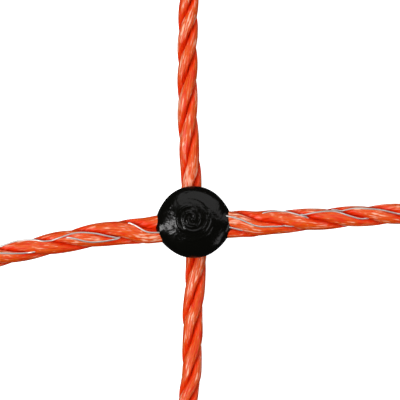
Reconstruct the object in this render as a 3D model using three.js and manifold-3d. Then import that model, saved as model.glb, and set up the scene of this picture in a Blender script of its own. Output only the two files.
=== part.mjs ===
// Electric sheep netting, as one whole mesh of the net with the half meshes round it.
// Two horizontal conductor twines cross two vertical twines, and a round moulded knot grips each crossing.
// The piece lies flat: X runs along the net, Y up its height, Z off the ground, and the origin is under
// its middle. The twines end half a mesh past the outer knots, so copies set side by side join, ply to
// ply, into longer netting.
import * as THREE from "three";
import { mergeVertices } from "three/addons/utils/BufferGeometryUtils.js";
import Module from "manifold-3d";

const wasm = await Module();
wasm.setup();

// The net, in millimetres.
const MESH_LENGTH = 150; // between vertical twines
const MESH_HEIGHT = 150; // between horizontal twines
const VERTICAL_COUNT = 2;
const HORIZONTAL_COUNT = 2;

// The twines: three plies laid up right-handed. A whole number of thirds of a turn goes into each mesh.
const PLIES = 3;
const HORIZONTAL_PLY_DIAMETER = 1.65;
const VERTICAL_PLY_DIAMETER = 1.6;
const HORIZONTAL_LAY = 22.5; // length of one full turn
const VERTICAL_LAY = 19.6;
const GROOVE_DEPTH_SHARE = 0.5; // distance from the axis to the bottom of a groove, in ply diameters
const CREST_HALF_ANGLE = THREE.MathUtils.degToRad(25); // half of a ply's crest, seen from the axis

// The steel conductors of a horizontal twine, one laid in each groove between two plies.
const WIRE_DIAMETER = 0.3;
const WIRE_LIFT = 0.44; // from the bottom of the groove to the wire's middle

// How slack twines wander, to the left of their own direction: where they sit in a knot, and the waves
// that they make once and twice in each mesh.
const HORIZONTAL_SWAY = { seat: -0.55, once: 4.2, twice: -1.45, bow: -2.1 };
const VERTICAL_SWAY = { seat: 0.18, once: -0.53, twice: 0.84, bow: 1.2 };

// The twist opens at each knot and tightens between knots, by this share of a third of a turn.
const HORIZONTAL_OPENING = 0.37;
const VERTICAL_OPENING = 0.45;
// Where the plies lie at a knot, as a share of a third of a turn.
const HORIZONTAL_START = -0.4;
const VERTICAL_START = -0.47;
// The open twist spreads sideways in a knot, by this share of the twine's width.
const HORIZONTAL_SPREAD = 0.4;
const VERTICAL_SPREAD = 0.06;
const SPREAD_STEEPNESS = 5; // how soon the twine is back to its own width

// The moulded knot.
const KNOT_DIAMETER = 12;
const KNOT_SKIN = 1.0; // plastic over and under the twines
const MOULD_CLEARANCE = 0.3; // round each twine
const TWINE_GAP = 0.2; // between the two twines where they cross
const FOOT_DIAMETER = 7;
const SHOULDER_HEIGHT = 2.2;
const DOME_RISE = 2.5; // of the crown over the top of the upright wall
const COLLAR_SKIN = 0.25; // plastic over the horizontal twine where it leaves the dome
const COLLAR_REACH = 0.4; // of that collar past the wall
const RING_DIAMETER = 3;
const RING_WIDTH = 0.5;
const RING_HEIGHT = 0.12;
const GATE_DIAMETER = 1.2; // the stub left where the plastic was fed in
const GATE_HEIGHT = 0.2;

// Facets.
const STATIONS_PER_TURN = 8;
const WIRE_SIDES = 3;
const PASSAGE_SIDES = 12;
const PASSAGE_STATIONS = 4;
const KNOT_SIDES = 24;
const SHOULDER_FACETS = 3;
const DOME_FACETS = 5;
const WELD_DISTANCE = 1e-4; // corners closer than this are one corner

// A kind of twine, with what follows from its ply, its lay and the mesh that it crosses.
function makeTwine({ plyDiameter, lay, pitch, crossings, sway, opening, start, spread }) {
  const plyCentre = plyDiameter / 2 / Math.sin(Math.PI / PLIES);
  const meshTurns = Math.round((pitch / lay) * PLIES) / PLIES;
  return {
    plyDiameter,
    pitch,
    sway,
    opening,
    start,
    spread,
    meshTurns,
    radius: plyCentre + plyDiameter / 2,
    length: pitch * crossings,
    stations: Math.ceil(meshTurns * STATIONS_PER_TURN) * crossings,
    firstKnot: (-pitch * (crossings - 1)) / 2,
  };
}

const horizontalTwine = makeTwine({
  plyDiameter: HORIZONTAL_PLY_DIAMETER,
  lay: HORIZONTAL_LAY,
  pitch: MESH_LENGTH,
  crossings: VERTICAL_COUNT,
  sway: HORIZONTAL_SWAY,
  opening: HORIZONTAL_OPENING,
  start: HORIZONTAL_START,
  spread: HORIZONTAL_SPREAD,
});
const verticalTwine = makeTwine({
  plyDiameter: VERTICAL_PLY_DIAMETER,
  lay: VERTICAL_LAY,
  pitch: MESH_HEIGHT,
  crossings: HORIZONTAL_COUNT,
  sway: VERTICAL_SWAY,
  opening: VERTICAL_OPENING,
  start: VERTICAL_START,
  spread: VERTICAL_SPREAD,
});

// Heights over the ground: the vertical twines run under the horizontal ones.
const VERTICAL_AXIS = KNOT_SKIN + MOULD_CLEARANCE + verticalTwine.radius;
const HORIZONTAL_AXIS = VERTICAL_AXIS + verticalTwine.radius + TWINE_GAP + horizontalTwine.radius;
const KNOT_HEIGHT = HORIZONTAL_AXIS + horizontalTwine.radius + MOULD_CLEARANCE + KNOT_SKIN;

// The angle round a mesh, which is zero at each knot.
function meshAngle(twine, along) {
  return (2 * Math.PI * (along - twine.firstKnot)) / twine.pitch;
}

// Sideways distance of the twine's axis from its straight line.
function swayAt(twine, along) {
  const angle = meshAngle(twine, along);
  const { seat, once, twice, bow } = twine.sway;
  return seat + once * Math.sin(angle) + twice * Math.sin(2 * angle) + bow * (1 - Math.cos(angle));
}

// How far the plies have turned. A groove is uppermost at each whole third.
function turnAt(twine, along) {
  const angle = meshAngle(twine, along);
  const thirds = twine.start - twine.opening * Math.sin(2 * angle);
  return angle * twine.meshTurns + (thirds * 2 * Math.PI) / PLIES;
}

// How much wider than its own width the twine is.
function spreadAt(twine, along) {
  const fade = Math.exp(SPREAD_STEEPNESS * (Math.cos(meshAngle(twine, along)) - 1));
  return 1 + twine.spread * fade;
}

// Draws a section out along a twine between two places, turning it with the plies if asked.
function drawOut(shape, twine, { from, to, stations, turning }) {
  const geometry = new THREE.ExtrudeGeometry(shape, {
    depth: to - from,
    steps: stations,
    bevelEnabled: false,
  });
  const place = geometry.getAttribute("position");
  for (let i = 0; i < place.count; i++) {
    const along = from + place.getZ(i);
    const turn = turning ? turnAt(twine, along) : 0;
    const across = place.getX(i) * Math.cos(turn) - place.getY(i) * Math.sin(turn);
    const up = place.getX(i) * Math.sin(turn) + place.getY(i) * Math.cos(turn);
    place.setXYZ(i, along, across * spreadAt(twine, along) + swayAt(twine, along), up);
  }
  geometry.computeVertexNormals();
  return geometry;
}

function drawWholeTwine(shape, twine) {
  const half = twine.length / 2;
  return drawOut(shape, twine, { from: -half, to: half, stations: twine.stations, turning: true });
}

function closedShape(corners) {
  return new THREE.Shape(corners.map(([angle, radius]) => polar(angle, radius)));
}

function polar(angle, radius) {
  return new THREE.Vector2(radius * Math.cos(angle), radius * Math.sin(angle));
}

// Grooves point straight up, and at equal angles from there.
function grooveAngle(groove) {
  return Math.PI / 2 + (groove * 2 * Math.PI) / PLIES;
}

// The three plies in section: a crest on each, and a groove between each two.
function twineSection(twine) {
  const corners = [];
  for (let ply = 0; ply < PLIES; ply++) {
    const groove = grooveAngle(ply);
    const crest = groove + Math.PI / PLIES;
    corners.push([groove, GROOVE_DEPTH_SHARE * twine.plyDiameter]);
    corners.push([crest - CREST_HALF_ANGLE, twine.radius]);
    corners.push([crest + CREST_HALF_ANGLE, twine.radius]);
  }
  return closedShape(corners);
}

function wireSection(groove) {
  const outwards = GROOVE_DEPTH_SHARE * horizontalTwine.plyDiameter + WIRE_LIFT;
  const middle = polar(grooveAngle(groove), outwards);
  const corners = [];
  for (let side = 0; side < WIRE_SIDES; side++) {
    const angle = grooveAngle(groove) + (side * 2 * Math.PI) / WIRE_SIDES;
    corners.push(polar(angle, WIRE_DIAMETER / 2).add(middle));
  }
  return new THREE.Shape(corners);
}

function toSolid(geometry) {
  const bare = geometry.clone();
  bare.deleteAttribute("normal");
  bare.deleteAttribute("uv");
  const merged = mergeVertices(bare, WELD_DISTANCE);
  return new wasm.Manifold(
    new wasm.Mesh({
      numProp: 3,
      vertProperties: merged.getAttribute("position").array,
      triVerts: new Uint32Array(merged.index.array),
    }),
  );
}

function toGeometry(solid) {
  const mesh = solid.getMesh();
  const geometry = new THREE.BufferGeometry();
  geometry.setAttribute("position", new THREE.BufferAttribute(mesh.vertProperties, 3));
  geometry.setIndex(new THREE.BufferAttribute(mesh.triVerts, 1));
  geometry.computeVertexNormals();
  return geometry;
}

// Half of the knot's outline, from the middle of its foot up to the middle of its gate stub.
function knotProfile() {
  const wall = KNOT_DIAMETER / 2;
  const foot = FOOT_DIAMETER / 2;
  const ring = RING_DIAMETER / 2;
  const gate = GATE_DIAMETER / 2;
  const domeTop = KNOT_HEIGHT - GATE_HEIGHT;
  const points = [new THREE.Vector2(0, 0)];
  // The shoulder is a quarter ellipse from the flat foot to the upright wall.
  for (let i = 0; i <= SHOULDER_FACETS; i++) {
    const angle = (i / SHOULDER_FACETS) * (Math.PI / 2);
    points.push(
      new THREE.Vector2(
        foot + (wall - foot) * Math.sin(angle),
        SHOULDER_HEIGHT * (1 - Math.cos(angle)),
      ),
    );
  }
  // The dome is one too, from the wall to the ring round the gate.
  const ringOutside = ring + RING_WIDTH / 2;
  const domeEnd = Math.acos(ringOutside / wall);
  for (let i = 0; i <= DOME_FACETS; i++) {
    const angle = (i / DOME_FACETS) * domeEnd;
    points.push(
      new THREE.Vector2(wall * Math.cos(angle), domeTop - DOME_RISE * (1 - Math.sin(angle))),
    );
  }
  points.push(
    new THREE.Vector2(ring, domeTop + RING_HEIGHT),
    new THREE.Vector2(ring - RING_WIDTH / 2, domeTop),
    new THREE.Vector2(gate, domeTop),
    new THREE.Vector2(gate, KNOT_HEIGHT),
    new THREE.Vector2(0, KNOT_HEIGHT),
  );
  return points;
}

// A round tube about a twine where it crosses a knot, this much wider than the twine all round.
function tubeInKnot(twine, gap, reach) {
  const radius = (twine.radius + gap) / Math.cos(Math.PI / PASSAGE_SIDES);
  const corners = [];
  for (let side = 0; side < PASSAGE_SIDES; side++)
    corners.push([(side * 2 * Math.PI) / PASSAGE_SIDES, radius]);
  const tube = drawOut(closedShape(corners), twine, {
    from: twine.firstKnot - reach,
    to: twine.firstKnot + reach,
    stations: PASSAGE_STATIONS,
    turning: false,
  });
  return tube.translate(-twine.firstKnot, 0, 0);
}

// The knot, with its middle over the origin and its foot on the ground.
function knotGeometry() {
  const wall = KNOT_DIAMETER / 2;
  const outside = new THREE.LatheGeometry(knotProfile(), KNOT_SIDES).rotateX(Math.PI / 2);
  const collarGap = MOULD_CLEARANCE + COLLAR_SKIN;
  const collar = tubeInKnot(horizontalTwine, collarGap, wall + COLLAR_REACH);
  const throughout = wall + COLLAR_REACH + KNOT_SKIN;
  const horizontalPassage = tubeInKnot(horizontalTwine, MOULD_CLEARANCE, throughout);
  const verticalPassage = tubeInKnot(verticalTwine, MOULD_CLEARANCE, throughout);
  return toGeometry(
    toSolid(outside)
      .add(toSolid(collar.translate(0, 0, HORIZONTAL_AXIS)))
      .subtract(toSolid(horizontalPassage.translate(0, 0, HORIZONTAL_AXIS)))
      .subtract(toSolid(verticalPassage.rotateZ(Math.PI / 2).translate(0, 0, VERTICAL_AXIS))),
  );
}

const orangeYarn = () =>
  new THREE.MeshStandardMaterial({ color: 0xf04a14, roughness: 0.45, metalness: 0 });
const stainlessSteel = () =>
  new THREE.MeshStandardMaterial({ color: 0xc8c6c2, roughness: 0.3, metalness: 1 });
const blackPlastic = () =>
  new THREE.MeshStandardMaterial({ color: 0x10110f, roughness: 0.35, metalness: 0 });

function placed(name, geometry, material, [x, y, z], turned = 0) {
  const mesh = new THREE.Mesh(geometry, material);
  mesh.name = name;
  mesh.position.set(x, y, z);
  mesh.rotation.z = turned;
  return mesh;
}

// The middles of a row of things that is centred on the origin.
function spread(count, pitch) {
  return Array.from({ length: count }, (_, i) => (i - (count - 1) / 2) * pitch);
}

const netting = new THREE.Group();
const columns = spread(VERTICAL_COUNT, MESH_LENGTH);
const rows = spread(HORIZONTAL_COUNT, MESH_HEIGHT);

const horizontalGeometry = drawWholeTwine(twineSection(horizontalTwine), horizontalTwine);
const wireGeometries = Array.from({ length: PLIES }, (_, groove) =>
  drawWholeTwine(wireSection(groove), horizontalTwine),
);
rows.forEach((y, row) => {
  const at = [0, y, HORIZONTAL_AXIS];
  const twine = `horizontal_twine_${row + 1}`;
  netting.add(placed(twine, horizontalGeometry, orangeYarn(), at));
  wireGeometries.forEach((geometry, wire) => {
    const name = `conductor_wire_${row + 1}_${wire + 1}`;
    netting.add(placed(name, geometry, stainlessSteel(), at));
  });
});

const verticalGeometry = drawWholeTwine(twineSection(verticalTwine), verticalTwine);
columns.forEach((x, column) => {
  const name = `vertical_twine_${column + 1}`;
  const at = [x, 0, VERTICAL_AXIS];
  netting.add(placed(name, verticalGeometry, orangeYarn(), at, Math.PI / 2));
});

const knot = knotGeometry();
rows.forEach((y, row) => {
  columns.forEach((x, column) => {
    netting.add(placed(`knot_${row + 1}_${column + 1}`, knot, blackPlastic(), [x, y, 0]));
  });
});

export default netting;
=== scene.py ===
"""Electric sheep netting: the looks of its twisted twines, steel conductors and moulded knots."""

import math
import random

import bmesh
import bpy
import numpy as np
from bpy.props import FloatProperty, FloatVectorProperty, IntProperty, PointerProperty
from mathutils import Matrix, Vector


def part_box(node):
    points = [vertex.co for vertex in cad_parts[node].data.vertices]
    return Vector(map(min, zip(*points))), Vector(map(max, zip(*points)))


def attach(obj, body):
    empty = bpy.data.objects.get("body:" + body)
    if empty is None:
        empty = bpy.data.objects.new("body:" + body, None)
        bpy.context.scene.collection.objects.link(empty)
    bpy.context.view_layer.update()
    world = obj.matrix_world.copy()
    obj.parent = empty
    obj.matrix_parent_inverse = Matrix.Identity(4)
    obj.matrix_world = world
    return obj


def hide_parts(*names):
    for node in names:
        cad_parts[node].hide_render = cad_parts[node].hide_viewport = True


bl_info = {
    "name": "Sheep netting",
    "version": (1, 0, 0),
    "blender": (4, 5, 0),
    "location": "View3D > Sidebar > Netting",
    "description": "Builds one mesh of electric sheep netting round its packed frame",
    "category": "Add Mesh",
}

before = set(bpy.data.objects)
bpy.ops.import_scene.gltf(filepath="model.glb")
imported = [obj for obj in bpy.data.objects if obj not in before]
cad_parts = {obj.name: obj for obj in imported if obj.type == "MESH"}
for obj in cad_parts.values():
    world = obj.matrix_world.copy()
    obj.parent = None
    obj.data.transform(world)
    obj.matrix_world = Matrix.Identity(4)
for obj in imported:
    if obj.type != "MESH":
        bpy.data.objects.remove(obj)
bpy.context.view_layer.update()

MM = 0.001
PLIES = 3
THIRD = 2 * math.pi / PLIES


def srgb(code, alpha=1.0):
    """Turns a hex colour such as 0xF04A14 into linear light."""
    channels = [((code >> shift) & 255) / 255 for shift in (16, 8, 0)]
    linear = [c / 12.92 if c <= 0.04045 else ((c + 0.055) / 1.055) ** 2.4 for c in channels]
    return (*linear, alpha)


def nodes_named(start):
    """The frame's nodes whose names start like this, in order."""
    return sorted(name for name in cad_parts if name.startswith(start))


def number(node):
    """The last number in a node's name, such as the row of a horizontal twine."""
    return int(node.rsplit("_", 1)[1])


def knots_along(twine):
    """The knots that a twine runs through, in order."""
    if twine.startswith("horizontal"):
        return nodes_named(f"knot_{number(twine)}_")
    return [knot for knot in nodes_named("knot_") if number(knot) == number(twine)]


def middle(node):
    """The middle of a node's box."""
    low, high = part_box(node)
    return (low + high) / 2


# Settings


class TwineSettings:
    """What the two kinds of twine share."""

    stations: IntProperty(name="Stations", description="Steps along the whole twine", default=560, min=50)


class HorizontalTwineSettings(TwineSettings, bpy.types.PropertyGroup):
    """The twines along X, which carry the conductors."""

    ply: FloatProperty(name="Ply", description="Ply diameter", default=1.65 * MM, precision=5, unit="LENGTH")
    lay_thirds: IntProperty(name="Lay", description="Thirds of a turn in each mesh", default=20, min=1)
    waves: FloatVectorProperty(
        name="Waves",
        description="Seat in the knot, then the waves made once and twice in a mesh, then the bow",
        size=4,
        default=(-0.55 * MM, 4.2 * MM, -1.45 * MM, -2.1 * MM),
        unit="LENGTH",
    )
    opening: FloatProperty(
        name="Opening", description="How far the twist opens at a knot, in thirds of a turn", default=0.37
    )
    start: FloatProperty(
        name="Start", description="How the plies stand at a knot, in thirds of a turn", default=-0.4
    )
    spread: FloatProperty(name="Spread", description="How much wider the twine lies in a knot", default=0.4)
    lean: FloatProperty(
        name="Lean", description="How much fuller it is before a knot than after", default=0.05
    )
    filaments: IntProperty(name="Filaments", description="Outer filaments of each ply", default=11, min=5)
    seed: IntProperty(name="Seed", description="Start of its small accidents", default=3)


class VerticalTwineSettings(TwineSettings, bpy.types.PropertyGroup):
    """The plain twines along Y."""

    ply: FloatProperty(name="Ply", description="Ply diameter", default=1.6 * MM, precision=5, unit="LENGTH")
    lay_thirds: IntProperty(name="Lay", description="Thirds of a turn in each mesh", default=23, min=1)
    waves: FloatVectorProperty(
        name="Waves",
        description="Seat in the knot, then the waves made once and twice in a mesh, then the bow",
        size=4,
        default=(0.18 * MM, -0.53 * MM, 0.84 * MM, 1.2 * MM),
        unit="LENGTH",
    )
    opening: FloatProperty(
        name="Opening", description="How far the twist opens at a knot, in thirds of a turn", default=0.45
    )
    start: FloatProperty(
        name="Start", description="How the plies stand at a knot, in thirds of a turn", default=-0.47
    )
    spread: FloatProperty(name="Spread", description="How much wider the twine lies in a knot", default=0.06)
    lean: FloatProperty(
        name="Lean", description="How much fuller it is before a knot than after", default=0.0
    )
    filaments: IntProperty(name="Filaments", description="Outer filaments of each ply", default=10, min=5)
    seed: IntProperty(name="Seed", description="Start of its small accidents", default=8)


class WireSettings(bpy.types.PropertyGroup):
    """The steel conductors."""

    diameter: FloatProperty(
        name="Diameter", description="Wire diameter", default=0.28 * MM, precision=5, unit="LENGTH"
    )
    stations: IntProperty(name="Stations", description="Steps along the whole wire", default=900, min=50)
    sides: IntProperty(name="Sides", description="Faces round a wire", default=8, min=3)


class KnotSettings(bpy.types.PropertyGroup):
    """The moulded knots."""

    dome: FloatProperty(
        name="Dome", description="Rise of the domed crown over its edge", default=2.5 * MM, unit="LENGTH"
    )
    foot: FloatProperty(name="Foot", description="Radius of the flat foot", default=3.5 * MM, unit="LENGTH")
    shoulder: FloatProperty(
        name="Shoulder", description="Height of the rounding over the foot", default=2.2 * MM, unit="LENGTH"
    )
    feed: FloatVectorProperty(
        name="Feed",
        description="Where the plastic was fed in, from the knot's middle",
        size=2,
        default=(-0.4 * MM, 0.55 * MM),
        unit="LENGTH",
    )
    collar: FloatProperty(
        name="Collar",
        description="Plastic over a horizontal twine as it leaves the dome",
        default=0.25 * MM,
        unit="LENGTH",
    )
    sectors: IntProperty(name="Sectors", description="Faces round the knot", default=144, min=24)


class ColourSettings(bpy.types.PropertyGroup):
    """The colour of each material."""

    yarn: FloatVectorProperty(
        name="Yarn", description="Orange of the yarn", subtype="COLOR", size=4, default=srgb(0xE2560E)
    )
    # Deep yarn: redder filaments, and also the painted shade in the gaps between filaments and the valleys
    # between plies.
    yarn_deep_and_shade: FloatVectorProperty(
        name="Deep yarn", description="Redder filaments", subtype="COLOR", size=4, default=srgb(0xE23006)
    )
    # Pale yarn: partly whitened filaments and partly painted highlight streaks where filaments would glint.
    yarn_pale_and_highlight: FloatVectorProperty(
        name="Pale yarn", description="Paler filaments", subtype="COLOR", size=4, default=srgb(0xFABC9C)
    )
    steel: FloatVectorProperty(
        name="Steel", description="Stainless wire", subtype="COLOR", size=4, default=srgb(0xF6F2EE)
    )
    plastic: FloatVectorProperty(
        name="Plastic", description="Moulded knot", subtype="COLOR", size=4, default=srgb(0x060604)
    )
    floor: FloatVectorProperty(
        name="Floor", description="Table top", subtype="COLOR", size=4, default=srgb(0xF7F7F7)
    )


class StageSettings(bpy.types.PropertyGroup):
    """What the camera sees."""

    view_width: FloatProperty(
        name="View", description="Width of the camera's view over a knot", default=66.7 * MM, unit="LENGTH"
    )
    aim: FloatVectorProperty(
        name="Aim",
        description="Middle of the view, from the middle of the knot",
        size=2,
        default=(1.08 * MM, 3.67 * MM),
        unit="LENGTH",
    )


class NettingSettings(bpy.types.PropertyGroup):
    """All the settings, by part."""

    horizontal: PointerProperty(type=HorizontalTwineSettings)
    vertical: PointerProperty(type=VerticalTwineSettings)
    wire: PointerProperty(type=WireSettings)
    knot: PointerProperty(type=KnotSettings)
    colour: PointerProperty(type=ColourSettings)
    stage: PointerProperty(type=StageSettings)


# Materials

# How the yarn's tone is shared out between patches and single filaments.
PATCH_SHARE, FILAMENT_SHARE = 0.33, 0.67


def add_node(tree, kind, values=None, links=None, stops=None, **options):
    """Adds a node with its options, its sockets' values and links, and a ramp's stops."""
    node = tree.nodes.new("ShaderNode" + kind)
    for name, value in options.items():
        setattr(node, name, value)
    for socket, value in (values or {}).items():
        node.inputs[socket].default_value = value
    for socket, source in (links or {}).items():
        tree.links.new(source, node.inputs[socket])
    for i, (place, colour) in enumerate(stops or []):
        ramp = node.color_ramp.elements
        stop = ramp[i] if i < 2 else ramp.new(place)
        stop.position = place
        stop.color = colour
    return node


def new_material(name):
    """An empty material, with its tree and output."""
    material = bpy.data.materials.new(name)
    material.use_nodes = True
    tree = material.node_tree
    tree.nodes.clear()
    return material, tree


def finish_material(tree, shader):
    """Puts the shader on the material's surface."""
    add_node(tree, "OutputMaterial", links={"Surface": shader.outputs[0]})


def scaled_map(tree, source, across, along):
    """A map scaled so that the spots of a noise come out about this large across it and along it."""
    scale = (1 / across, 1 / along, 1)
    return add_node(tree, "Mapping", {"Scale": scale}, {"Vector": source.outputs["UV"]})


def twisted_polyethylene(colour):
    """Drawn polyethylene filaments: shiny along their length. Painted shade makes them redder and less shiny
    in the gaps between filaments and the valleys between plies. Their pale streaks are partly whitened
    filaments and partly painted highlights.
    """
    material, tree = new_material("polyethylene_twisted_filament_yarn")
    # The map's first direction runs round a ply and its second along it, both in metres.
    yarn = add_node(tree, "UVMap", uv_map="Yarn")
    # How deep the yarn lies between filaments and plies, from the mesh: it drives the painted shade below.
    depth = add_node(tree, "Attribute", attribute_name="Depth")
    patches = scaled_map(tree, yarn, 2 * MM, 7 * MM)
    filaments = scaled_map(tree, yarn, 0.24 * MM, 2.4 * MM)
    striae = scaled_map(tree, yarn, 0.2 * MM, 3 * MM)
    tone = add_node(
        tree, "TexNoise", {"Scale": 1.0, "Detail": 2.0, "Roughness": 0.6}, {"Vector": filaments.outputs[0]}
    )
    lines = add_node(
        tree, "TexNoise", {"Scale": 1.0, "Detail": 2.0, "Roughness": 0.6}, {"Vector": striae.outputs[0]}
    )
    cluster = add_node(tree, "TexNoise", {"Scale": 1.0, "Detail": 1.0}, {"Vector": patches.outputs[0]})
    share = add_node(tree, "Math", {1: PATCH_SHARE}, {0: cluster.outputs["Fac"]}, operation="MULTIPLY")
    mixed = add_node(
        tree,
        "Math",
        {1: FILAMENT_SHARE},
        {0: tone.outputs["Fac"], 2: share.outputs[0]},
        operation="MULTIPLY_ADD",
    )
    # The ramp's deep end is redder filaments; its pale end is partly whitened filaments and partly painted
    # highlight streaks.
    hue_and_highlight = add_node(
        tree,
        "ValToRGB",
        links={"Fac": mixed.outputs[0]},
        stops=[
            (0.41, colour.yarn_deep_and_shade),
            (0.47, colour.yarn),
            (0.54, colour.yarn),
            (0.61, colour.yarn_pale_and_highlight),
        ],
    )
    # Painted shade: the yarn turns deep red where it lies deep in the gaps between filaments and the valleys
    # between plies.
    shade = add_node(
        tree,
        "MixRGB",
        {"Color2": colour.yarn_deep_and_shade},
        {"Fac": depth.outputs["Fac"], "Color1": hue_and_highlight.outputs["Color"]},
    )
    gloss = add_node(
        tree,
        "MapRange",
        {"From Min": 0.3, "From Max": 0.7, "To Min": 0.2, "To Max": 0.42},
        {"Value": lines.outputs["Fac"]},
    )
    # Painted shade on the gloss too: the specular level drops where the yarn lies deep.
    shade_dimmed_shine = add_node(tree, "MapRange", {"To Min": 0.35, "To Max": 0.1}, {"Value": depth.outputs["Fac"]})
    relief = add_node(
        tree, "Bump", {"Strength": 1.0, "Distance": 0.13 * MM}, {"Height": lines.outputs["Fac"]}
    )
    shader = add_node(
        tree,
        "BsdfPrincipled",
        {
            "IOR": 1.52,
            "Subsurface Weight": 0.12,
            "Subsurface Radius": (1.0, 0.25, 0.08),
            "Subsurface Scale": 0.4 * MM,
        },
        {
            "Base Color": shade.outputs["Color"],
            "Roughness": gloss.outputs["Result"],
            "Specular IOR Level": shade_dimmed_shine.outputs["Result"],
            "Normal": relief.outputs["Normal"],
        },
    )
    finish_material(tree, shader)
    return material


def drawn_stainless_steel(colour):
    """Fine stainless wire, bright from the drawing die, with faint lines along it."""
    material, tree = new_material("stainless_steel_drawn_wire")
    wire = add_node(tree, "UVMap", uv_map="Yarn")
    stretched = scaled_map(tree, wire, 0.08 * MM, 3 * MM)
    lines = add_node(tree, "TexNoise", {"Scale": 1.0, "Detail": 1.0}, {"Vector": stretched.outputs[0]})
    polish = add_node(
        tree,
        "MapRange",
        {"From Min": 0.3, "From Max": 0.7, "To Min": 0.42, "To Max": 0.54},
        {"Value": lines.outputs["Fac"]},
    )
    shader = add_node(
        tree,
        "BsdfPrincipled",
        {"Base Color": colour.steel, "Metallic": 1.0},
        {"Roughness": polish.outputs["Result"]},
    )
    finish_material(tree, shader)
    return material


def moulded_black_polyethylene(colour):
    """Black plastic off a polished mould: glossy, with slight flow waves and a few scuffs."""
    material, tree = new_material("polyethylene_black_moulded")
    place = add_node(tree, "TexCoord")
    flow = add_node(
        tree,
        "TexNoise",
        {"Scale": 1 / (1.3 * MM), "Detail": 3.0, "Roughness": 0.5, "Distortion": 0.8},
        {"Vector": place.outputs["Object"]},
    )
    scuffs = add_node(
        tree, "TexNoise", {"Scale": 1 / (0.35 * MM), "Detail": 4.0}, {"Vector": place.outputs["Object"]}
    )
    sheen = add_node(
        tree,
        "MapRange",
        {"From Min": 0.35, "From Max": 0.7, "To Min": 0.12, "To Max": 0.24},
        {"Value": scuffs.outputs["Fac"]},
    )
    waves = add_node(
        tree, "Bump", {"Strength": 0.8, "Distance": 0.12 * MM}, {"Height": flow.outputs["Fac"]}
    )
    grain = add_node(
        tree,
        "Bump",
        {"Strength": 0.2, "Distance": 0.01 * MM},
        {"Height": scuffs.outputs["Fac"], "Normal": waves.outputs["Normal"]},
    )
    shader = add_node(
        tree,
        "BsdfPrincipled",
        {"Base Color": colour.plastic, "IOR": 1.51, "Specular IOR Level": 0.24},
        {"Roughness": sheen.outputs["Result"], "Normal": grain.outputs["Normal"]},
    )
    finish_material(tree, shader)
    return material


def pale_floor(colour):
    """A light table: matt white acrylic, lit a little from below, which keeps shadows faint."""
    material, tree = new_material("acrylic_white_light_table")
    shader = add_node(
        tree,
        "BsdfPrincipled",
        {
            "Base Color": colour.floor,
            "Roughness": 0.9,
            "Emission Color": colour.floor,
            "Emission Strength": 0.96,
        },
    )
    finish_material(tree, shader)
    return material


# Twines

# How soon a twine is back to its own width beside a knot: a higher number is sooner.
SPREAD_STEEPNESS = 5
# Across one flat filament: close beside each edge, and between.
FILAMENT_POINTS = (0.05, 0.2, 0.5, 0.8, 0.95)
# How far a flat filament's edges lie under its middle.
EDGE_DROP = 0.09 * MM
# The filaments go round their ply this often in a whole twine.
FILAMENT_TURNS = 7
# Accidents, each with its height and its wavelength. A filament's edge strays (in filaments), the filament
# stands proud and it tilts. A ply swells (as a share of its size) and strays round the twine (in radians).
EDGE_STRAY = (0.17, 18 * MM)
FILAMENT_PRIDE = (0.035 * MM, 14 * MM)
FILAMENT_TILT = (0.05 * MM, 11 * MM)
PLY_SWELLING = (0.025, 30 * MM)
PLY_STRAY = (0.07, 35 * MM)
# An accident sums this many waves, each of which comes more or less often by a factor in this range.
RIPPLE_WAVES = 3
RIPPLE_RANGE = (0.6, 1.6)
# How far tension fills the valleys between the plies. It starts this far out and is complete this much
# further, both as shares of the twine's radius.
PACKING = 0.68
PACKING_START, PACKING_REACH = 0.45, 0.25
# Painted shade in the valleys between plies starts this far out and is darkest this much further in.
VALLEY_SHADE_START, VALLEY_SHADE_REACH = 0.85, 0.3
# How dark the painted shade in the gaps between filaments is; the deepest painted valley shade is 1.
GAP_PAINTED_SHADE = 0.8
# Keeps the random draws of one twine apart from the next one's.
SEED_STEP = 100
# Small kinks of the horizontal and of the vertical twines, which come again in each mesh: their places
# along from the knot, their widths and how far they shift the twine to its left, in mm.
NUDGES = [
    [(-8, 2.5, -0.4), (10.5, 2, -0.35)],
    [(9, 2.5, -0.2), (-6, 3, -0.45), (-16.3, 2.5, 0.25), (-26.3, 2, -0.3)],
]


def ripple(rng, along, length, height, wavelength):
    """A smooth accident of about this height, which repeats over the length."""
    total = np.zeros_like(along)
    for _ in range(RIPPLE_WAVES):
        cycles = round(length / wavelength * rng.uniform(*RIPPLE_RANGE))
        total += np.sin(2 * math.pi * (cycles * along / length + rng.random()))
    return height * (total / math.sqrt(RIPPLE_WAVES))


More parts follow.
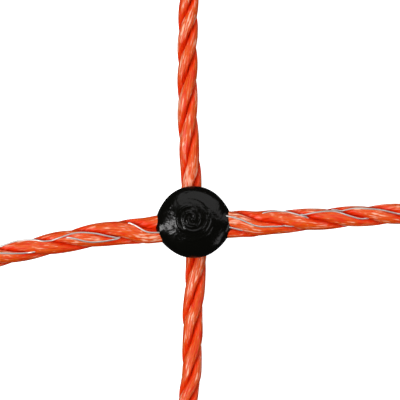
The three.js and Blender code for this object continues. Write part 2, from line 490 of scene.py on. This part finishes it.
class Course:
    """How one twine lies: its line, its twist and its fullness, from one cut end to the other."""

    def __init__(self, settings, node):
        low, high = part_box(node)
        knots = knots_along(node)
        self.settings = settings
        # 0 for a twine along X and 1 for one along Y.
        self.direction = int(node.startswith("vertical"))
        self.start, self.end = low[self.direction], high[self.direction]
        self.length = self.end - self.start
        self.first_knot = middle(knots[0])
        self.pitch = (middle(knots[-1]) - self.first_knot)[self.direction] / (len(knots) - 1)
        self.height = (low.z + high.z) / 2
        self.ply_centre = settings.ply / 2 / math.sin(math.pi / PLIES)

    def stations(self, count):
        """Places from one cut end to the other, in this many steps."""
        return np.linspace(self.start, self.end, count + 1)

    def angle(self, along):
        """The angle round a mesh, which is zero at each knot."""
        return 2 * math.pi * (along - self.first_knot[self.direction]) / self.pitch

    def sway(self, along):
        """How far the twine lies to the left of the straight line through its knots."""
        seat, once, twice, bow = self.settings.waves
        angle = self.angle(along)
        total = seat + once * np.sin(angle) + twice * np.sin(2 * angle) + bow * (1 - np.cos(angle))
        for place, width, amount in NUDGES[self.direction]:
            reach = self.pitch / math.pi * np.sin((angle - 2 * math.pi * place * MM / self.pitch) / 2)
            total = total + amount * MM * np.exp(-((reach / (width * MM)) ** 2))
        return total

    def turn(self, along):
        """How far the plies have turned. A groove is uppermost at each whole third."""
        angle = self.angle(along)
        thirds = self.settings.start - self.settings.opening * np.sin(2 * angle)
        return angle * self.settings.lay_thirds / PLIES + thirds * THIRD

    def fullness(self, along):
        """The twine's thickness as a share of its usual one."""
        return 1 - self.settings.lean * np.sin(self.angle(along))

    def spread(self, along):
        """How much wider than its own width the twine lies: its open twist spreads in a knot."""
        fade = np.exp(SPREAD_STEEPNESS * (np.cos(self.angle(along)) - 1))
        return 1 + self.settings.spread * fade

    def place(self, along, left, up):
        """Points in the frame, from distances along, to the left of and over the twine's line."""
        aside = left * self.spread(along) + self.sway(along)
        along, z = np.broadcast_to(along, aside.shape), self.height + up
        if self.direction == 0:
            return np.stack([along, self.first_knot.y + aside, z], -1)
        return np.stack([self.first_knot.x - aside, along, z], -1)

    def off_line(self, x, y):
        """How far points lie to the left of a twine along X."""
        return y - self.first_knot.y - self.sway(x)


def tube_faces(stations, around, first):
    """Quads between rings of a tube, and the corners' places in its own grid."""
    i, j = np.meshgrid(np.arange(stations), np.arange(around), indexing="ij")
    steps = [(0, 0), (0, 1), (1, 1), (1, 0)]
    corners = [(first + (i + di) * around + (j + dj) % around) for di, dj in steps]
    grid = [np.stack([j + dj, i + di], -1) for di, dj in steps]
    return np.stack(corners, -1).reshape(-1, 4), np.stack(grid, -2).reshape(-1, 4, 2)


def tubes_mesh(name, rings, widths, lengths, depths=()):
    """A mesh of closed tubes. rings holds each tube's points by station and by place round it, and
    depths how deep each point lies between others, from 0 to 1."""
    vertices, quads, maps, caps = [], [], [], []
    first = 0
    for tube, points in enumerate(rings):
        stations, around = points.shape[0] - 1, points.shape[1]
        faces, grid = tube_faces(stations, around, first)
        quads.append(faces)
        scale = np.array([widths[tube] / around, lengths[tube] / stations])
        maps.append(grid * scale + [0, tube * lengths[tube]])
        vertices.append(points.reshape(-1, 3))
        last = first + stations * around
        caps.append([first + j for j in range(around)][::-1])
        caps.append([last + j for j in range(around)])
        first = last + around
    vertices = np.concatenate(vertices)
    quads = np.concatenate(quads)
    mesh = bpy.data.meshes.new(name)
    mesh.from_pydata(vertices.tolist(), [], quads.tolist() + caps)
    layer = mesh.uv_layers.new(name="Yarn")
    flat = np.zeros((len(layer.data), 2), dtype=np.float32)
    corner_maps = np.concatenate(maps).reshape(-1, 2)
    flat[: len(corner_maps)] = corner_maps
    layer.data.foreach_set("uv", flat.ravel())
    if len(depths):
        # The depth values go on the mesh, where the yarn's material turns them into painted shade.
        layer = mesh.attributes.new("Depth", "FLOAT", "POINT")
        values = np.concatenate([depth.ravel() for depth in depths])
        layer.data.foreach_set("value", values.astype(np.float32))
    mesh.polygons.foreach_set("use_smooth", [True] * len(quads) + [False] * len(caps))
    mesh.update()
    return mesh


def outwards(mesh):
    """Turns every face of a closed mesh to face out."""
    work = bmesh.new()
    work.from_mesh(mesh)
    bmesh.ops.recalc_face_normals(work, faces=work.faces)
    work.to_mesh(mesh)
    work.free()


def ply_rings(course, ply, rng):
    """One ply: a bundle of flat filaments, which wander, stand proud and turn over as they go. Gives its
    points, and how deep each one lies between filaments and plies: the mask of the yarn's painted shade."""
    settings = course.settings
    along = course.stations(settings.stations)
    count = settings.filaments
    spin = FILAMENT_TURNS * 2 * math.pi * (along - course.start) / course.length
    edges, pride, tilt = [], [], []
    for i in range(count):
        edges.append(i + ripple(rng, along, course.length, *EDGE_STRAY))
        pride.append(ripple(rng, along, course.length, *FILAMENT_PRIDE))
        tilt.append(ripple(rng, along, course.length, *FILAMENT_TILT))
    edges.append(edges[0] + count)
    columns, radii, grooves = [], [], []
    for i in range(count):
        for share in FILAMENT_POINTS:
            across = 2 * share - 1
            columns.append(edges[i] * (1 - share) + edges[i + 1] * share)
            radii.append(pride[i] + tilt[i] * across - EDGE_DROP * across**4)
            # Painted shade mask: strongest at each filament's edges, in the gaps between filaments.
            grooves.append(np.full_like(along, across**6))
    facing = 2 * math.pi * np.stack(columns, -1) / count - spin[:, None]
    size = course.fullness(along) * (1 + ripple(rng, along, course.length, *PLY_SWELLING))
    radius = size[:, None] * settings.ply / 2 + np.stack(radii, -1)
    stray = ripple(rng, along, course.length, *PLY_STRAY)
    heading = (math.pi / 2 + THIRD * (ply + 0.5) + course.turn(along) + stray)[:, None]
    reach = (course.ply_centre * size)[:, None]
    left = reach * np.cos(heading) + radius * np.cos(facing)
    up = reach * np.sin(heading) + radius * np.sin(facing)
    outer = course.ply_centre + settings.ply / 2
    out = np.hypot(left, up) / outer
    # Painted shade mask: the valleys between plies, deepest nearest the twine's middle.
    valley_shade = np.clip((VALLEY_SHADE_START - out) / VALLEY_SHADE_REACH, 0, 1)
    depth = np.maximum(GAP_PAINTED_SHADE * np.stack(grooves, -1), valley_shade)
    packed = 1 + PACKING * np.clip((out - PACKING_START) / PACKING_REACH, 0, 1) * (1 / out - 1)
    return course.place(along[:, None], left * packed, up * packed), depth


def build_twine(node, settings, material):
    """Lays up one twine from its plies."""
    course = Course(settings, node)
    rng = random.Random(settings.seed + SEED_STEP * number(node))
    rings, depths = zip(*[ply_rings(course, ply, rng) for ply in range(PLIES)])
    sizes = [math.pi * settings.ply] * PLIES, [course.length] * PLIES
    mesh = tubes_mesh(f"{node}_plies", rings, *sizes, depths)
    dress(mesh, material, "orange_yarn", node)


def dress(mesh, material, slot, *nodes):
    """Puts a finished mesh into the scene in place of the nodes that it stands for."""
    mesh.materials.append(material)
    piece = bpy.data.objects.new(mesh.name, mesh)
    bpy.context.scene.collection.objects.link(piece)
    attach(piece, "root")
    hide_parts(*nodes)
    return piece


# Conductors

# How far from the twine's middle a wire lies where the yarn covers it.
WIRE_HIDDEN_RADIUS = 0.3 * MM
# How much of a wire's height follows the plies' round surface, and how much spans from crest to crest.
WIRE_FOLLOWS, WIRE_SPANS = 0.45, 0.55
# How far a wire's middle stands over the yarn that it lies on, as a share of its diameter.
WIRE_STAND = 0.25
# The steps over which the corners of a wire's course are rounded, and those of its slips into the yarn.
COURSE_ROUNDING, SLIP_ROUNDING = 5, 3
# How often a wire goes round its twine in each mesh.
WIRE_TURNS = 6
# Where each wire shows on the front of a horizontal twine: millimetres along from the knot, degrees round
# the twine from its top, and whether it lies on the yarn (0) or has slipped in between the filaments (1).
WIRE_COURSES = [
    [(-32.2, -72, 0), (-29, -68, 0), (-26.5, -50, 0), (-24.8, -23, 0), (-21.9, -25, 0), (-19.8, -32, 0),
     (-18.2, -27, 0), (-16.1, -11, 0), (-13.9, 17, 0), (-12.2, 36, 0), (-11.8, 39, 1), (4.6, 320, 1),
     (5, 324, 0), (7.8, 343, 0), (9.4, 358, 0), (11.4, 372, 0), (14.4, 389, 0), (16.9, 391, 0),
     (17.3, 394, 1), (21.5, 640, 1), (23, 664, 0), (26.9, 668, 0), (28.6, 680, 0), (31.1, 689, 0),
     (32.8, 707, 0), (34.4, 725, 0), (39, 790, 0), (58, 1090, 0), (61, 1130, 1), (66, 1230, 1),
     (69, 1260, 0)],
    [(-32.2, -16, 0), (-30.6, -4, 0), (-28.9, 10, 0), (-27.8, 21, 0), (-26.1, 21, 0), (-25.7, 23, 1),
     (-11.4, 306, 1), (-11, 310, 0), (-9.2, 338, 0), (-8.4, 353, 0), (-7.6, 365, 0), (-5.2, 380, 0),
     (-4.6, 390, 1), (10.8, 655, 1), (11.3, 662, 0), (13.8, 664, 0), (15.6, 668, 0), (17.2, 686, 0),
     (19, 708, 0), (19.4, 713, 1), (31, 830, 1), (34, 870, 0), (47, 1060, 0), (50, 1120, 0), (64, 1400, 0)],
    [(-21.6, -24, 1), (-21.2, -20, 0), (-19.6, -4, 0), (-18.9, 6, 0), (-17.9, 18, 0), (-16.9, 27, 0),
     (-14.6, 34, 0), (-12.2, 37, 0), (-11.8, 38, 1), (3.6, 356, 1), (4.2, 363, 0), (7.1, 386, 0),
     (8.3, 394, 0), (8.7, 397, 1), (17.2, 674, 1), (17.7, 682, 0), (20.8, 680, 0), (23.1, 679, 0),
     (24.1, 687, 0), (24.9, 700, 0), (26.4, 721, 0), (27.8, 739, 0), (29, 739, 0), (29.4, 745, 1),
     (36, 850, 1), (38, 880, 0), (55, 1140, 0), (68, 1310, 0)],
]


def wire_ring(course, wire, settings):
    """One wire, lying on the plies, bridging the grooves and slipping in under filaments here and there."""
    along = course.stations(settings.stations)
    pitch_count = round(course.length / course.pitch)
    places, angles, depths = [], [], []
    for m in range(-1, pitch_count + 2):
        for place, degrees, depth in WIRE_COURSES[wire]:
            places.append(course.first_knot[course.direction] + m * course.pitch + place * MM)
            angles.append(math.radians(degrees) + 2 * math.pi * WIRE_TURNS * m)
            depths.append(depth)
    angle = smoothed(np.interp(along, places, angles), COURSE_ROUNDING)
    depth = smoothed(np.interp(along, places, depths), SLIP_ROUNDING)
    heading = math.pi / 2 + angle
    full = course.fullness(along)
    ply = course.settings.ply / 2 * full
    reach = course.ply_centre * full
    crest = math.pi / 2 + THIRD / 2 + course.turn(along)
    off = (heading - crest + THIRD / 2) % THIRD - THIRD / 2
    surface = reach * np.cos(off) + np.sqrt(np.maximum(ply**2 - (reach * np.sin(off)) ** 2, 0))
    on_yarn = WIRE_FOLLOWS * surface + WIRE_SPANS * (reach + ply) + settings.diameter * WIRE_STAND
    radius = on_yarn * (1 - depth) + WIRE_HIDDEN_RADIUS * depth
    line = course.place(along, radius * np.cos(heading), radius * np.sin(heading))
    tangent = np.gradient(line, axis=0)
    tangent /= np.linalg.norm(tangent, axis=1)[:, None]
    side = np.cross(tangent, [0.0, 0.0, 1.0])
    side /= np.linalg.norm(side, axis=1)[:, None]
    over = np.cross(side, tangent)
    turn = 2 * math.pi * np.arange(settings.sides) / settings.sides
    offset = np.cos(turn)[None, :, None] * side[:, None, :] + np.sin(turn)[None, :, None] * over[:, None, :]
    return line[:, None, :] + offset * settings.diameter / 2


def smoothed(values, width):
    """The values with their corners rounded over this many steps."""
    window = np.hanning(width + 2)[1:-1]
    padded = np.pad(values, width // 2, mode="reflect", reflect_type="odd")
    return np.convolve(padded, window / window.sum(), mode="valid")


def build_wires(twine, twine_settings, settings, material):
    """Draws the wires of one horizontal twine."""
    course = Course(twine_settings, twine)
    for wire in range(len(WIRE_COURSES)):
        node = f"conductor_wire_{number(twine)}_{wire + 1}"
        ring = wire_ring(course, wire, settings)
        mesh = tubes_mesh(f"{node}_drawn", [ring], [math.pi * settings.diameter], [course.length])
        outwards(mesh)
        dress(mesh, material, "stainless_steel", node)


# Knots

# Ridges that the plastic left as it flowed out from the feed point: radius and its growth over the ridge,
# both in mm, the angles between which it runs, counted from the right, and its height and width in mm.
FLOW_RIDGES = [
    (1.15, 0.35, 60, 400, 0.16, 0.14),
    (2.1, 0.3, 85, 250, 0.2, 0.2),
    (1.75, 0.9, 225, 375, 0.16, 0.16),
    (2.9, 0.3, -60, 30, 0.14, 0.2),
    (3.5, 0.2, -110, -5, 0.1, 0.2),
    (3.3, 0.3, 25, 110, 0.05, 0.22),
]
# How many times shorter than a ridge the fade at each of its ends is.
RIDGE_FADE = 6
# The swirl at the feed point: its arms and their heading in radians, their height and width, where they
# start and end, measured from the feed point, and how far out they move in each radian.
SWIRL_ARMS = 2
SWIRL_HEADING = 0.9
SWIRL_HEIGHT = 0.2 * MM
SWIRL_WIDTH = 0.13 * MM
SWIRL_START, SWIRL_END = 0.2 * MM, 1.3 * MM
SWIRL_GROWTH = 0.3 * MM
# Pimples where air was trapped: places from the knot's middle, in mm.
PIMPLES = [(-3.75, 2.55), (2.67, 4.4), (-0.13, 2.0)]
PIMPLE_HEIGHT, PIMPLE_WIDTH = 0.13 * MM, 0.16 * MM
# Half the width of the collar's swelling on the wall, as a share of the knot's radius.
COLLAR_HALF_WIDTH = 0.75
# The swelling starts this far under the horizontal twine's middle, and is full this much higher.
COLLAR_START, COLLAR_REACH = 2.2 * MM, 0.8 * MM
# How sharply the collar ends at the knot's rim, and how sharply it meets the dome: higher is sharper.
COLLAR_END_POWER, COLLAR_MEETING_POWER = 12, 8
# Rings over the foot, the rounding above it, the upright wall and the dome.
FOOT_RINGS, SHOULDER_RINGS, WALL_RINGS, DOME_RINGS = 8, 12, 14, 100
# The innermost ring of the foot, as a share of the foot's radius.
FOOT_CORE = 0.05


def ridge(distance, width):
    """The height of a soft ridge, which is 1 on its crest."""
    return np.exp(-((distance / width) ** 2))


def flow_relief(x, y):
    """Height of the flow ridges and of the swirl round the feed point."""
    r = np.hypot(x, y)
    degrees = np.degrees(np.arctan2(y, x))
    total = np.zeros_like(r)
    for radius, growth, first, last, height, width in FLOW_RIDGES:
        share = ((degrees - first) % 360) / (last - first)
        ends = np.clip(np.minimum(share, 1 - share) * RIDGE_FADE, 0, 1)
        here = radius + growth * np.clip(share, 0, 1)
        total += height * MM * ends * ridge(r - here * MM, width * MM)
    arm = (np.radians(degrees) + SWIRL_HEADING) % (2 * math.pi / SWIRL_ARMS)
    crest = ridge(r - SWIRL_START - SWIRL_GROWTH * arm, SWIRL_WIDTH)
    return total + SWIRL_HEIGHT * crest * (r < SWIRL_END)


def pimples(x, y):
    """Height of the pimples."""
    distances = [np.hypot(x - px * MM, y - py * MM) for px, py in PIMPLES]
    return sum(PIMPLE_HEIGHT * ridge(distance, PIMPLE_WIDTH) for distance in distances)


def collar_rise(course, centre, x, y, edge, settings):
    """Height over the dome's edge of the plastic that covers the horizontal twine."""
    across = course.off_line(centre.x + x, centre.y + y) / course.spread(centre.x + x)
    radius = course.ply_centre + course.settings.ply / 2 + settings.collar
    top = course.height + np.sqrt(np.maximum(radius**2 - across**2, 0))
    return np.maximum(top - edge, 0) * (np.abs(across) < radius)


def knot_rings(low, high, course, settings):
    """The knot's surface as rings, from its foot up to its crown. The swirl reaches the box's top."""
    radius = (high.y - low.y) / 2
    reach = (high.x - low.x) / 2 - radius
    centre = (low + high) / 2
    top = high.z - low.z - SWIRL_HEIGHT
    edge = top - settings.dome
    around = 2 * math.pi * np.arange(settings.sectors) / settings.sectors
    x, y = radius * np.cos(around), radius * np.sin(around)
    off_line = course.off_line(centre.x + x, centre.y + y) / radius
    swelling = np.cos(np.pi / 2 * np.clip(off_line / COLLAR_HALF_WIDTH, -1, 1)) ** 2
    bulge = reach * swelling * (np.abs(x) > radius / 2)
    rings = []

    def add(r, z):
        rings.append(np.stack([centre.x + r * np.cos(around), centre.y + r * np.sin(around), low.z + z], -1))

    flat = np.zeros_like(around)
    for share in np.linspace(FOOT_CORE, 1, FOOT_RINGS):
        add(flat + settings.foot * share, flat)
    for angle in np.linspace(0, math.pi / 2, SHOULDER_RINGS)[1:]:
        out = settings.foot + (radius - settings.foot) * math.sin(angle)
        add(flat + out, flat + settings.shoulder * (1 - math.cos(angle)))
    for z in np.linspace(settings.shoulder, edge, WALL_RINGS)[1:]:
        share = np.clip((z - course.height + COLLAR_START) / COLLAR_REACH, 0, 1)
        add(radius + bulge * share, flat + z)
    for angle in np.linspace(0, math.pi / 2, DOME_RINGS)[1:-1]:
        share = math.cos(angle)
        r = (radius + bulge) * share
        x, y = r * np.cos(around), r * np.sin(around)
        dome = settings.dome * np.sqrt(np.maximum(1 - (r / radius) ** 2, 0))
        collar = collar_rise(course, centre, x, y, edge, settings)
        collar = collar * math.sqrt(1 - share**COLLAR_END_POWER)
        rise = (dome**COLLAR_MEETING_POWER + collar**COLLAR_MEETING_POWER) ** (1 / COLLAR_MEETING_POWER)
        relief = flow_relief(x - settings.feed[0], y - settings.feed[1]) + pimples(x, y)
        add(r, edge + rise + relief)
    return np.array(rings)


def build_knot(node, course, settings, material):
    """Moulds one knot round the horizontal twine that has this course."""
    low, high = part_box(node)
    rings = knot_rings(low, high, course, settings)
    mesh = tubes_mesh(f"{node}_moulding", [rings], [math.pi * (high.x - low.x)], [2 * (high.z - low.z)])
    outwards(mesh)
    dress(mesh, material, "black_plastic", node)


# Stage

# Half the side of the floor, in metres, and how far it lies under the knots' feet.
FLOOR_HALF, FLOOR_DROP = 8, 0.05 * MM
# The camera's lens and the width of its sensor, in mm, and how near it sees, in metres.
LENS, SENSOR_WIDTH = 150, 36
CLIP_START = 0.01
# The height at which the view has its stated width, as a share of a knot's height.
VIEW_LEVEL = 0.65
# The soft boxes: where each stands, its width and height in metres, and its power in watts.
LIGHTS = {
    "key": ((-0.92, -0.2, 0.95), (0.52, 0.52), 11),
    "overhead": ((0, 0, 1.6), (1.6, 1.6), 12),
    "far_panel": ((0.2, 1.0, 1.05), (2.6, 1.3), 12.5),
    "right_strip": ((1.15, -0.45, 0.5), (1.2, 0.5), 4),
}
# The even light from all round.
WORLD_STRENGTH = 0.04


def add_light(name, place, size, power):
    """A soft box that faces the middle of the scene. size is its width and its height."""
    data = bpy.data.lights.new(name, "AREA")
    data.shape = "RECTANGLE"
    data.size, data.size_y = size
    data.energy = power
    lamp = bpy.data.objects.new(name, data)
    lamp.location = place
    lamp.rotation_euler = (-Vector(place)).to_track_quat("-Z", "Y").to_euler()
    bpy.context.scene.collection.objects.link(lamp)
    return lamp


def build_floor(material):
    """A wide square table top, kept out of reflections and of bounced light."""
    signs = [(-1, -1), (1, -1), (1, 1), (-1, 1)]
    corners = [(x * FLOOR_HALF, y * FLOOR_HALF, -FLOOR_DROP) for x, y in signs]
    mesh = bpy.data.meshes.new("floor")
    mesh.from_pydata(corners, [], [(0, 1, 2, 3)])
    mesh.materials.append(material)
    floor = bpy.data.objects.new("floor", mesh)
    bpy.context.scene.collection.objects.link(floor)
    floor.visible_glossy = False
    floor.visible_diffuse = False


def build_camera(knot, settings):
    """Looks straight down at one knot, as the photograph does."""
    data = bpy.data.cameras.new("camera")
    data.lens = LENS
    data.sensor_width = SENSOR_WIDTH
    data.clip_start = CLIP_START
    centre = middle(knot)
    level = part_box(knot)[1].z * VIEW_LEVEL
    distance = settings.view_width * LENS / SENSOR_WIDTH
    camera = bpy.data.objects.new("camera", data)
    camera.location = (centre.x + settings.aim[0], centre.y + settings.aim[1], distance + level)
    bpy.context.scene.collection.objects.link(camera)
    bpy.context.scene.camera = camera


def build_lights():
    """A key box on the left, a soft panel overhead, a wide one beyond the view's top, a strip at the right.
    Only the panel overhead is kept out of reflections, so that the black plastic stays black on top."""
    world = bpy.data.worlds.new("studio")
    bpy.context.scene.world = world
    world.use_nodes = True
    world.node_tree.nodes["Background"].inputs["Color"].default_value = (1, 1, 1, 1)
    world.node_tree.nodes["Background"].inputs["Strength"].default_value = WORLD_STRENGTH
    for name, (place, size, power) in LIGHTS.items():
        lamp = add_light(name, place, size, power)
        lamp.visible_glossy = name != "overhead"
    bpy.context.scene.view_settings.view_transform = "Standard"


# Operators


class NETTING_OT_horizontal_twines(bpy.types.Operator):
    """Lay the horizontal twines through their row of knots"""

    bl_idname = "netting.horizontal_twines"
    bl_label = "Horizontal twines"

    def execute(self, context):
        settings = context.scene.netting
        material = twisted_polyethylene(settings.colour)
        for node in nodes_named("horizontal_twine_"):
            build_twine(node, settings.horizontal, material)
        return {"FINISHED"}


class NETTING_OT_vertical_twines(bpy.types.Operator):
    """Lay the vertical twines through their column of knots"""

    bl_idname = "netting.vertical_twines"
    bl_label = "Vertical twines"

    def execute(self, context):
        settings = context.scene.netting
        material = twisted_polyethylene(settings.colour)
        for node in nodes_named("vertical_twine_"):
            build_twine(node, settings.vertical, material)
        return {"FINISHED"}


class NETTING_OT_conductors(bpy.types.Operator):
    """Lay the steel wires round the horizontal twines"""

    bl_idname = "netting.conductors"
    bl_label = "Conductors"

    def execute(self, context):
        settings = context.scene.netting
        material = drawn_stainless_steel(settings.colour)
        for twine in nodes_named("horizontal_twine_"):
            build_wires(twine, settings.horizontal, settings.wire, material)
        return {"FINISHED"}


class NETTING_OT_knots(bpy.types.Operator):
    """Mould a knot round each crossing"""

    bl_idname = "netting.knots"
    bl_label = "Knots"

    def execute(self, context):
        settings = context.scene.netting
        material = moulded_black_polyethylene(settings.colour)
        for twine in nodes_named("horizontal_twine_"):
            course = Course(settings.horizontal, twine)
            for node in knots_along(twine):
                build_knot(node, course, settings.knot, material)
        return {"FINISHED"}


class NETTING_OT_stage(bpy.types.Operator):
    """Set up the floor, the lights and the camera"""

    bl_idname = "netting.stage"
    bl_label = "Stage"

    def execute(self, context):
        settings = context.scene.netting
        build_floor(pale_floor(settings.colour))
        build_lights()
        build_camera(nodes_named("knot_")[0], settings.stage)
        return {"FINISHED"}


class NETTING_PT_panel(bpy.types.Panel):
    """A button for each step, then the settings."""

    bl_label = "Sheep netting"
    bl_idname = "NETTING_PT_panel"
    bl_space_type = "VIEW_3D"
    bl_region_type = "UI"
    bl_category = "Netting"

    def draw(self, context):
        for step in STEPS:
            self.layout.operator(step.bl_idname)
        for part, group in context.scene.netting.bl_rna.properties.items():
            if group.type == "POINTER":
                box = self.layout.box()
                box.label(text=part)
                values = getattr(context.scene.netting, part)
                for name in values.bl_rna.properties.keys():
                    if name not in {"rna_type", "name"}:
                        box.prop(values, name)


SETTINGS = [
    HorizontalTwineSettings,
    VerticalTwineSettings,
    WireSettings,
    KnotSettings,
    ColourSettings,
    StageSettings,
    NettingSettings,
]
STEPS = [
    NETTING_OT_horizontal_twines,
    NETTING_OT_vertical_twines,
    NETTING_OT_conductors,
    NETTING_OT_knots,
    NETTING_OT_stage,
]


def register():
    for cls in SETTINGS + STEPS + [NETTING_PT_panel]:
        bpy.utils.register_class(cls)
    bpy.types.Scene.netting = PointerProperty(type=NettingSettings)


def unregister():
    del bpy.types.Scene.netting
    for cls in reversed(SETTINGS + STEPS + [NETTING_PT_panel]):
        bpy.utils.unregister_class(cls)


def main():
    register()
    for step in STEPS:
        group, name = step.bl_idname.split(".")
        getattr(getattr(bpy.ops, group), name)()


if __name__ == "__main__":
    main()
